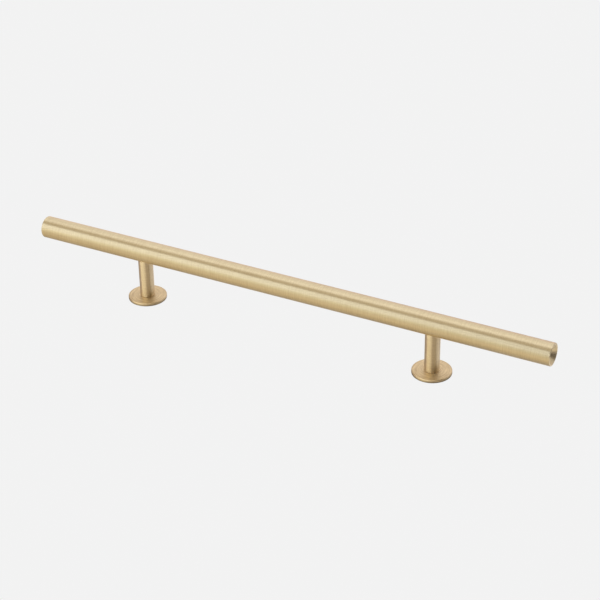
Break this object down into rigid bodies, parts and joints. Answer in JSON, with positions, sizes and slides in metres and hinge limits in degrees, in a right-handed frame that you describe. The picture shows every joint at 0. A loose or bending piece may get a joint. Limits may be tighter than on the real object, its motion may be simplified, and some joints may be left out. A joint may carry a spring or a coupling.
{
  "type": "bar cabinet pull",
  "caption": "Round satin brass bar pull on slim round posts, each standing on a thin round base, with conical recesses in the bar's ends.",
  "frame": {"origin": "on the face of the door, halfway between the two posts", "axes": "+X along the bar, +Z away from the door, +Y across the bar; the pull stands on its two bases"},
  "size_m": [0.3556, 0.025, 0.0413],
  "materials": {
    "bar_brass": "satin brass, brushed round the bar",
    "post_brass": "satin brass, turned and brushed round the post",
    "base_brass": "satin brass, turned in fine rings",
    "stud_steel": "zinc plated steel"
  },
  "bodies": {
    "root": {"bar": "bar_brass", "left_post": "post_brass", "right_post": "post_brass", "left_base": "base_brass", "right_base": "base_brass", "left_stud": "stud_steel", "right_stud": "stud_steel"}
  },
  "joints": []
}
